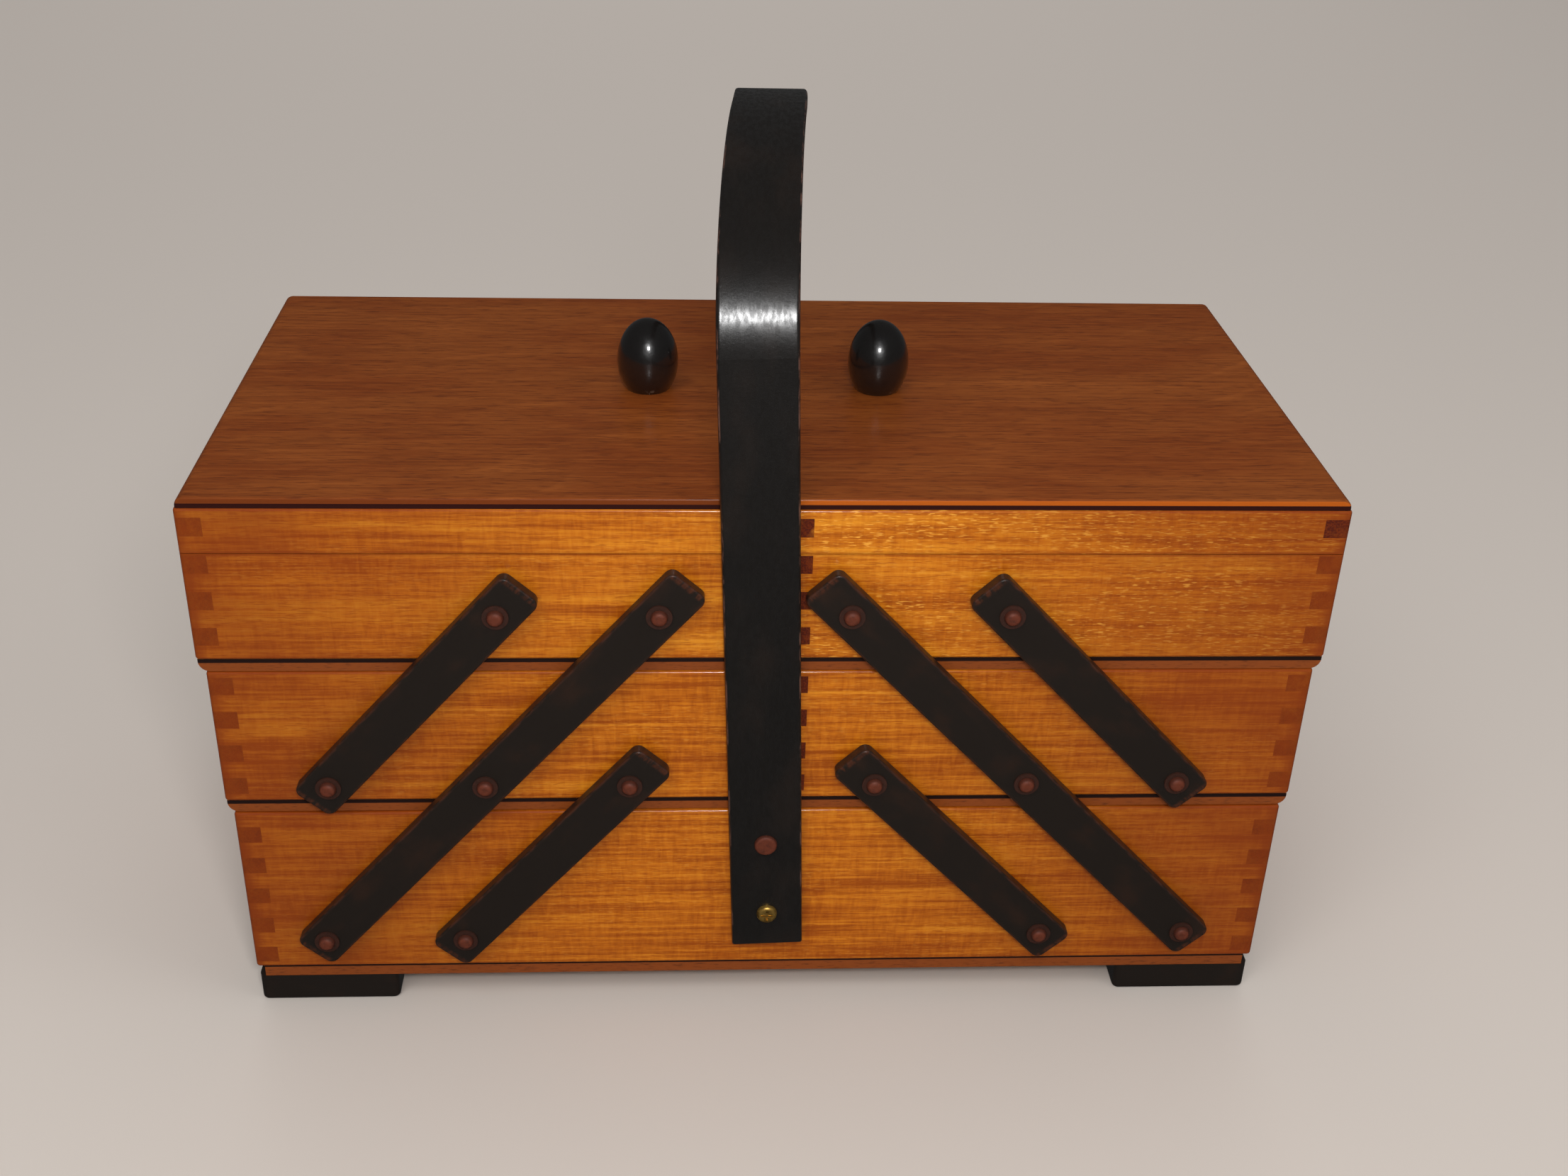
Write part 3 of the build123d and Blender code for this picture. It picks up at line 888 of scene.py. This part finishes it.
@dataclass(frozen=True)
class CopperedSteel:
    """Dull coppered rivets over darker washers, their head rims darkened with dirt and painted shade."""

    copper: Colour = srgb(94, 43, 26)
    dirt: Colour = srgb(64, 30, 20)
    washer: Colour = srgb(50, 28, 20)

    blotches: Pattern = Pattern((0.5, 0.5, 0.5), detail=4, rough=0.7, step=(0.42, 0.75), strength=0.75)
    washer_step: Span = (0.35, 0.7)
    washer_dirt: float = 0.6
    head_rise_mm: Span = (0.02, 0.2)
    rim_facing: Span = (0.85, 0.5)
    rim_dirt: float = 0.8
    relief_mm: float = 0.05
    metallic: float = 0.1
    specular: float = 0.3
    roughness: float = 0.6
    roughness_spread: float = 0.1

    def material(self, name: str, washer_face_mm: float) -> Material:
        """Makes the finish of a set of rivets and their washers.

        Args:
            name: The set's name.
            washer_face_mm: How far from the middle of the box the outer washers' faces lie.

        Returns:
            The set's material.
        """
        shader = Shader(f"copper_{name}")
        place = shader.place()
        blotch = shader.marks(place, self.blotches)
        head = (abs(place.y) - washer_face_mm).rise(*self.head_rise_mm)
        # painted shade, partly dirt: the rim of each head darkens where it turns away from the front
        rim = shader.facing(Axis.Y).rise(*self.rim_facing)
        tarnish = blotch.rise(*self.blotches.step) * self.blotches.strength
        dull = shader.mix(tarnish, self.copper, self.dirt)
        dull = shader.mix(rim * self.rim_dirt, dull, self.dirt)
        base = shader.mix(blotch.rise(*self.washer_step) * self.washer_dirt, self.washer, self.dirt)
        shader.bump(blotch, self.relief_mm)
        return shader.finish(
            Base_Color=shader.mix(head, base, dull),
            Metallic=self.metallic,
            Specular_IOR_Level=self.specular,
            Roughness=self.roughness - head * self.roughness_spread + blotch * self.roughness_spread,
        )


@dataclass(frozen=True)
class Brass:
    """Brass of hinges and screws, gone brown in its recesses."""

    bright: Colour = srgb(206, 164, 84)
    brown: Colour = srgb(92, 62, 30)

    tarnish: Pattern = Pattern((0.35, 0.35, 0.35), detail=4, rough=0.65, step=(0.42, 0.68), strength=0.8)
    brushing: Pattern = Pattern((3.0, 0.2, 3.0), detail=2)

    relief_mm: float = 0.02
    metallic: float = 0.9
    roughness: float = 0.3
    roughness_spread: float = 0.25

    def material(self, name: str) -> Material:
        """Makes the finish of one set of brass pieces.

        Args:
            name: The set's name.

        Returns:
            The set's material.
        """
        shader = Shader(f"brass_{name}")
        place = shader.place()
        tarnish = shader.marks(place, self.tarnish)
        browned = tarnish.rise(*self.tarnish.step) * self.tarnish.strength
        shader.bump(shader.marks(place, self.brushing), self.relief_mm)
        return shader.finish(
            Base_Color=shader.mix(browned, self.bright, self.brown),
            Metallic=self.metallic,
            Roughness=self.roughness + tarnish * self.roughness_spread,
        )


# ---- the box


def add_object(name: str, data: Any) -> Object:
    """Adds an object to the scene.

    Args:
        name: The object's name.
        data: Its mesh, lamp or camera.

    Returns:
        The new object.
    """
    made = bpy.data.objects.new(name, data)
    bpy.context.scene.collection.objects.link(made)
    return made


def dress(node: Object, material: Material) -> None:
    """Gives a piece one material.

    Args:
        node: The piece's object.
        material: Its material.
    """
    node.data.materials.clear()
    node.data.materials.append(material)
    log.info("%s: %s", node.name, material.name)


def dress_arm_rivets(node: Object, copper: CopperedSteel) -> None:
    """Gives a set of arm rivets its finish. Its heads stand on the outer washers."""
    head_height_mm = 2.2
    washer_face_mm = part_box(node.name)[1].y / MM - head_height_mm
    dress(node, copper.material(node.name, washer_face_mm))


@dataclass
class Boards:
    """Four finger-jointed boards, of the base, a tray or a lid."""

    nodes: dict[str, Object]
    along: list[str]
    across: list[str]
    finish: LacqueredBeech = LacqueredBeech()

    def dress(self) -> None:
        """Gives each board its own stretch of grain."""
        for names, grain in ((self.along, Axis.X), (self.across, Axis.Y)):
            for name in names:
                dress(self.nodes[name], self.finish.material(name, grain, *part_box(name)))


@dataclass
class Base:
    """The base of the box, with its floor and feet."""

    nodes: dict[str, Object]
    # the base floor's edge gets a thinner band of painted shade under the base boards
    ply: StainedPly = StainedPly(glue_height_mm=0.6)
    black: BlackLacquer = BlackLacquer()
    copper: CopperedSteel = CopperedSteel()

    def dress(self) -> None:
        """Gives the base's pieces their finishes."""
        Boards(self.nodes, ["base_front", "base_back"], ["base_left_end", "base_right_end"]).dress()
        dress(self.nodes["base_floor"], self.ply.material("base_floor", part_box("base_floor")[1]))
        dress(self.nodes["feet"], self.black.material("feet", Vector(Axis.X.value)))
        dress_arm_rivets(self.nodes["base_arm_rivets"], self.copper)


@dataclass
class Handle:
    """The bent strap over the box, with its rivets and screws."""

    nodes: dict[str, Object]
    strap: StrapLacquer = StrapLacquer()
    copper: CopperedSteel = CopperedSteel()
    brass: Brass = Brass()

    def dress(self) -> None:
        """Gives the handle's pieces their finishes."""
        dress(self.nodes["handle_strap"], self.strap.material("handle"))
        dress(self.nodes["handle_rivets"], self.copper.material("handle_rivets", 0))
        dress(self.nodes["handle_screws"], self.brass.material("handle_screws"))


@dataclass
class Arms:
    """The six arms of one half. Their slopes are those of the closed box."""

    nodes: dict[str, Object]
    side: Side
    left_slope: float = math.radians(48.31)
    right_slope: float = math.radians(46.44)
    width_mm: float = 17.0
    black: BlackLacquer = BlackLacquer()

    def dress(self) -> None:
        """Gives each arm its finish, with wear along its own edges."""
        slope = self.left_slope if self.side is Side.LEFT else self.right_slope
        grain = Vector((-self.side.sign * math.cos(slope), 0, math.sin(slope)))
        for place in ("front", "back"):
            for kind in ("long_arm", "lower_arm", "upper_arm"):
                name = f"{self.side.word}_{place}_{kind}"
                low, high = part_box(name)
                centre = (low + high) / 2 / MM
                span = (high - low) / MM
                length = (span.x - self.width_mm * math.sin(slope)) / math.cos(slope)
                outer = max(abs(low.y), abs(high.y)) / MM
                wear = EdgeWear(centre, grain, length / 2, self.width_mm / 2, outer)
                dress(self.nodes[name], self.black.material(name, grain, wear))


@dataclass
class Tray:
    """One tray of a half: boards, floor and arm rivets."""

    nodes: dict[str, Object]
    side: Side
    level: str
    ply: StainedPly = StainedPly()
    copper: CopperedSteel = CopperedSteel()

    def dress(self) -> None:
        """Gives the tray's pieces their finishes."""
        stem = f"{self.side.word}_{self.level}"
        Boards(self.nodes, [f"{stem}_front", f"{stem}_back"],
               [f"{stem}_outer_end", f"{stem}_inner_end"]).dress()
        floor = f"{stem}_floor"
        dress(self.nodes[floor], self.ply.material(floor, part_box(floor)[1]))
        dress_arm_rivets(self.nodes[f"{stem}_arm_rivets"], self.copper)


@dataclass
class Lid:
    """One lid, with its knob and the hinges that it turns on."""

    nodes: dict[str, Object]
    side: Side
    screw_radius: float = 1.9 * MM
    screw_rise: float = 0.08 * MM
    slot_width: float = 0.5 * MM
    slot_floor: float = 0.3
    slot_floor_width: float = 0.96
    head_steps: int = 14
    screw_spacing: float = 20 * MM
    hinge_spacing: float = 104 * MM
    leaf_width: float = 7.5 * MM
    veneer: LidVeneer = LidVeneer()
    # the same veneer without the painted highlight: its edge keeps the panel's plain red
    browned: LidVeneer = LidVeneer(rounded_edge=srgb(104, 48, 16))
    knob: KnobLacquer = KnobLacquer()
    brass: Brass = Brass()

    def dress(self) -> None:
        """Gives the lid's pieces their finishes."""
        word = self.side.word
        Boards(self.nodes, [f"{word}_lid_side_rails"], [f"{word}_lid_end_rails"]).dress()
        panel, knob = f"{word}_lid_panel", f"{word}_lid_knob"
        low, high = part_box(panel)
        # only the right lid's panel edge gets the painted orange highlight
        veneer = self.browned if self.side is Side.LEFT else self.veneer
        dress(self.nodes[panel], veneer.material(panel, low))
        dress(self.nodes[knob], self.knob.material(knob, high.z / MM))
        for part in ("hinge_tray_leaves", "hinge_lid_leaves", "hinge_pins"):
            dress(self.nodes[f"{word}_{part}"], self.brass.material(f"{word}_{part}"))

    def build_screws(self) -> None:
        """Adds the slotted screws that hold the hinge leaves, a hair over their faces."""
        word = self.side.word
        tray_low, tray_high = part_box(f"{word}_upper_front")
        lid_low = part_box(f"{word}_lid_side_rails")[0]
        outer = max(abs(tray_low.x), abs(tray_high.x))
        x = self.side.sign * (outer - self.leaf_width / 2)
        metal = self.brass.material(f"{word}_hinge_screws")
        for body, z, up in (("upper_tray", tray_high.z, 1), ("lid", lid_low.z, -1)):
            mesh = bmesh.new()
            for middle in (-self.hinge_spacing / 2, self.hinge_spacing / 2):
                for step in (-self.screw_spacing / 2, self.screw_spacing / 2):
                    self.add_head(mesh, Vector((x, middle + step, z)), up)
            data = bpy.data.meshes.new(f"{word}_{body}_hinge_screws")
            bmesh.ops.recalc_face_normals(mesh, faces=mesh.faces)
            mesh.to_mesh(data)
            mesh.free()
            screws = add_object(data.name, data)
            dress(screws, metal)
            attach(screws, f"{word}_{body}")

    def add_head(self, mesh: bmesh.types.BMesh, at: Vector, up: int) -> None:
        """Adds one flat screw head: two half discs, a slot apart, over a lower disc.

        Args:
            mesh: The mesh to add to.
            at: The middle of the head, on the leaf's face.
            up: 1 where the head faces up and -1 where it faces down.
        """
        first = math.asin(self.slot_width / 2 / self.screw_radius)
        for turn in (0.0, math.pi):
            rim = []
            for step in range(self.head_steps + 1):
                angle = turn + first + (math.pi - 2 * first) * step / self.head_steps
                rim.append(Vector((math.cos(angle), math.sin(angle), 0)) * self.screw_radius)
            self.prism(mesh, at, rim, self.screw_rise * up)
        disc = []
        for step in range(2 * self.head_steps):
            angle = math.pi * step / self.head_steps
            point = Vector((math.cos(angle), math.sin(angle), 0)) * self.screw_radius
            disc.append(point * self.slot_floor_width)
        self.prism(mesh, at, disc, self.screw_rise * self.slot_floor * up)

    @staticmethod
    def prism(mesh: bmesh.types.BMesh, at: Vector, rim: list[Vector], rise: float) -> None:
        """Adds a closed prism.

        Args:
            mesh: The mesh to add to.
            at: Where the outline's middle goes.
            rim: The outline, in the plane of X and Y.
            rise: Its height along Z, which may be negative.
        """
        bottom = [mesh.verts.new(at + point) for point in rim]
        top = [mesh.verts.new(at + point + Vector((0, 0, rise))) for point in rim]
        mesh.faces.new(bottom)
        mesh.faces.new(top)
        for i in range(len(rim)):
            after = (i + 1) % len(rim)
            mesh.faces.new((bottom[i], bottom[after], top[after], top[i]))


# ---- the studio


@dataclass(frozen=True)
class Lamp:
    """A square area lamp.

    Attributes:
        name: Its name.
        at: Where it stands, in metres.
        size: Its side, in metres.
        power: Its power, in watts.
        in_gloss: Whether glossy surfaces mirror it.
        aim: The point that it shines at, in metres.
    """

    name: str
    at: Triple
    size: float
    power: float
    in_gloss: bool = False
    aim: Triple = (0, 0, 0.12)

    def build(self) -> None:
        """Adds the lamp to the scene."""
        data = bpy.data.lights.new(self.name, "AREA")
        data.size = self.size
        data.energy = self.power
        lamp = add_object(self.name, data)
        lamp.visible_glossy = self.in_gloss
        turn = (Vector(self.aim) - Vector(self.at)).to_track_quat("-Z", "Y").to_matrix().to_4x4()
        lamp.matrix_world = Matrix.Translation(self.at) @ turn


@dataclass
class Studio:
    """The pale floor, the soft light and the camera."""

    camera_at: Vector = field(default_factory=lambda: Vector((-30.77, -635.26, 484.66)) * MM)
    yaw: float = math.radians(3.73)
    pitch: float = math.radians(29.17)
    roll: float = math.radians(1.81)
    lens: float = 40.92
    sensor_width: float = 36
    softbox: Lamp = Lamp("softbox", (-0.55, -1.15, 1.55), 1.1, 14)
    fill: Lamp = Lamp("fill", (1.3, -0.5, 1.2), 1.0, 5)
    back_wash: Lamp = Lamp("back_wash", (0, 2.6, 2.2), 2.6, 26, aim=(0, 2.2, 0))
    lens_lamp_offset: float = 0.05
    lens_lamp_size: float = 0.09
    lens_lamp_power: float = 2.3
    floor_size: float = 8.0
    floor_roughness: float = 0.7
    floor_colour: Colour = srgb(190, 181, 173)
    backdrop_colour: Colour = srgb(206, 200, 192)
    world_strength: float = 0.55
    world_in_gloss: float = 0.05

    def build(self) -> None:
        """Adds the floor, the world, the lamps and the camera."""
        self.add_camera()
        self.add_floor()
        self.add_world()
        beside_lens = (self.axes()[0] + Vector(Axis.Z.value)) * self.lens_lamp_offset
        near = tuple(self.camera_at + beside_lens)
        lens_lamp = Lamp("lens_lamp", near, self.lens_lamp_size, self.lens_lamp_power, in_gloss=True)
        for lamp in (self.softbox, self.fill, lens_lamp, self.back_wash):
            lamp.build()

    def axes(self) -> tuple[Vector, Vector, Vector]:
        """Returns the camera's right, up and forward directions."""
        forward = Vector((math.sin(self.yaw) * math.cos(self.pitch),
                          math.cos(self.yaw) * math.cos(self.pitch), -math.sin(self.pitch)))
        level = Vector((math.cos(self.yaw), -math.sin(self.yaw), 0))
        upright = level.cross(forward)
        right = level * math.cos(self.roll) + upright * math.sin(self.roll)
        up = upright * math.cos(self.roll) - level * math.sin(self.roll)
        return right, up, forward

    def add_camera(self) -> None:
        """Adds the camera and makes it the scene's."""
        right, up, forward = self.axes()
        data = bpy.data.cameras.new("camera")
        data.lens = self.lens
        data.sensor_width = self.sensor_width
        data.sensor_fit = "HORIZONTAL"
        camera = add_object("camera", data)
        turn = Matrix((right, up, -forward)).transposed().to_4x4()
        camera.matrix_world = Matrix.Translation(self.camera_at) @ turn
        bpy.context.scene.camera = camera

    def add_floor(self) -> None:
        """Adds a plain pale floor."""
        half = self.floor_size / 2
        data = bpy.data.meshes.new("floor")
        corners = [(-half, -half, 0), (half, -half, 0), (half, half, 0), (-half, half, 0)]
        data.from_pydata(corners, [], [(0, 1, 2, 3)])
        floor = add_object("floor", data)
        shader = Shader("pale_floor")
        finish = shader.finish(Base_Color=self.floor_colour, Roughness=self.floor_roughness)
        data.materials.append(finish)
        floor.visible_glossy = False

    def add_world(self) -> None:
        """Adds a soft even world: dim in a gloss, and the pale backdrop where the camera sees it."""
        world = bpy.data.worlds.new("studio")
        world.use_nodes = True
        bpy.context.scene.world = world
        nodes, links = world.node_tree.nodes, world.node_tree.links
        nodes.clear()

        def background(colour: Colour, strength: float) -> Node:
            """Adds one even background."""
            made = nodes.new("ShaderNodeBackground")
            made.inputs["Color"].default_value = (*colour, 1)
            made.inputs["Strength"].default_value = strength
            return made

        surface = background(WHITE, self.world_strength)
        path = nodes.new("ShaderNodeLightPath")
        in_gloss = background(WHITE, self.world_in_gloss)
        seen = background(self.backdrop_colour, 1.0)
        for ray, other in (("Is Glossy Ray", in_gloss), ("Is Camera Ray", seen)):
            mix = nodes.new("ShaderNodeMixShader")
            links.new(path.outputs[ray], mix.inputs[0])
            links.new(surface.outputs[0], mix.inputs[1])
            links.new(other.outputs[0], mix.inputs[2])
            surface = mix
        output = nodes.new("ShaderNodeOutputWorld")
        links.new(surface.outputs[0], output.inputs["Surface"])


def main() -> None:
    """Builds and dresses the box and its studio."""
    nodes = frame["nodes"]
    bpy.context.scene.view_settings.view_transform = "Standard"
    Studio().build()
    Base(nodes).dress()
    Handle(nodes).dress()
    for side in Side:
        Arms(nodes, side).dress()
        Tray(nodes, side, "middle").dress()
        Tray(nodes, side, "upper").dress()
        lid = Lid(nodes, side)
        lid.dress()
        lid.build_screws()


if __name__ == "__main__":
    main()
